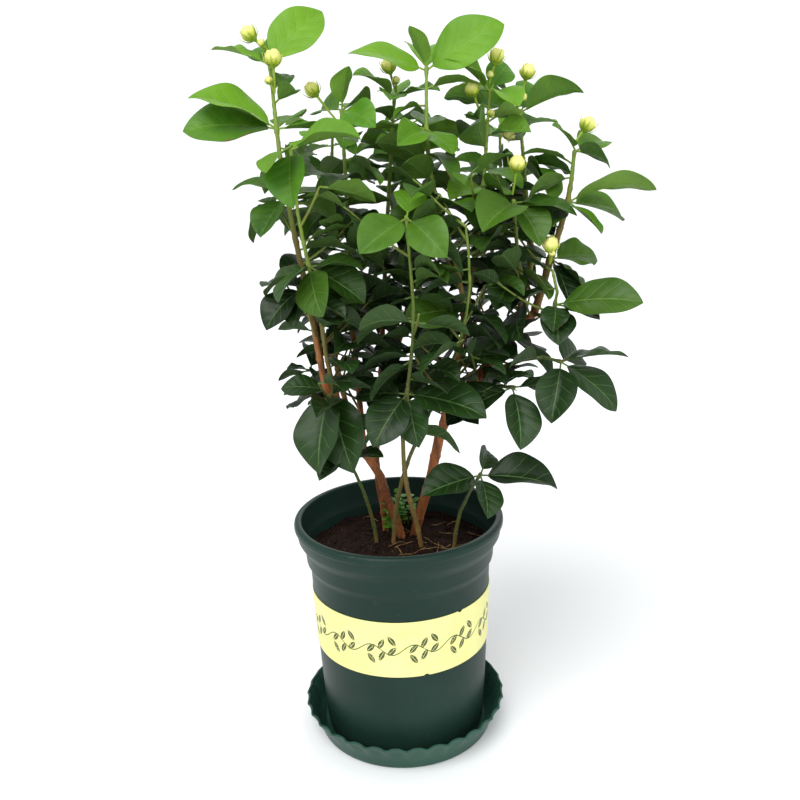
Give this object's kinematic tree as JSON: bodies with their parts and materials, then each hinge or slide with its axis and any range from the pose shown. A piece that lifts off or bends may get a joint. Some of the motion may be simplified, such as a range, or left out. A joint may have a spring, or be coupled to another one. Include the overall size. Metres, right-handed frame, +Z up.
{
  "type": "potted arabian jasmine",
  "caption": "Bushy Arabian jasmine with glossy opposite leaves and pale round flower buds, in a round plastic nursery pot with a blank band, standing on a saucer with a scalloped lip.",
  "frame": {"origin": "centre of the saucer's underside, on the surface that the saucer stands on", "axes": "+Z up through the middle of the pot, -Y towards the front"},
  "size_m": [0.3507, 0.2491, 0.6056],
  "materials": {
    "pot_plastic": "satin",
    "saucer_plastic": "satin",
    "band_film": "satin",
    "soil": "matte",
    "bark": "matte",
    "green_stem": "satin",
    "old_leaf": "satin",
    "young_leaf": "satin",
    "bud": "satin"
  },
  "bodies": {
    "root": {"saucer": "saucer_plastic", "pot": "pot_plastic", "label_band": "band_film", "stems_right": "bark", "stems_left": "bark", "stems_middle": "green_stem", "stem_front": "green_stem", "stem_slender": "green_stem", "stem_sprout": "green_stem", "stem_low_left": "green_stem", "soil": "soil", "bud_01": "bud", "bud_02": "bud", "bud_03": "bud", "bud_04": "bud", "bud_05": "bud", "bud_06": "bud", "bud_07": "bud", "bud_08": "bud", "bud_09": "bud", "bud_10": "bud", "bud_11": "bud", "leaves_01": "young_leaf", "leaves_02": "young_leaf", "leaves_03": "young_leaf", "leaves_04": "young_leaf", "leaves_05": "old_leaf", "leaves_06": "young_leaf", "leaves_07": "young_leaf", "leaves_08": "young_leaf", "leaves_09": "young_leaf", "leaves_10": "young_leaf", "leaves_11": "young_leaf", "leaves_12": "young_leaf", "leaves_13": "young_leaf", "leaves_14": "young_leaf", "leaves_15": "young_leaf", "leaves_16": "young_leaf", "leaves_17": "young_leaf", "leaves_18": "young_leaf", "leaves_19": "young_leaf", "leaves_20": "young_leaf", "leaves_21": "young_leaf", "leaves_22": "young_leaf", "leaves_23": "young_leaf", "leaves_24": "young_leaf", "leaves_25": "young_leaf", "leaves_26": "young_leaf", "leaves_27": "young_leaf", "leaves_28": "young_leaf", "leaves_29": "old_leaf", "leaves_30": "young_leaf", "leaves_31": "old_leaf", "leaves_32": "old_leaf", "leaves_33": "old_leaf", "leaves_34": "young_leaf", "leaves_35": "young_leaf", "leaves_36": "young_leaf", "leaves_37": "young_leaf", "leaves_38": "young_leaf"}
  },
  "joints": []
}
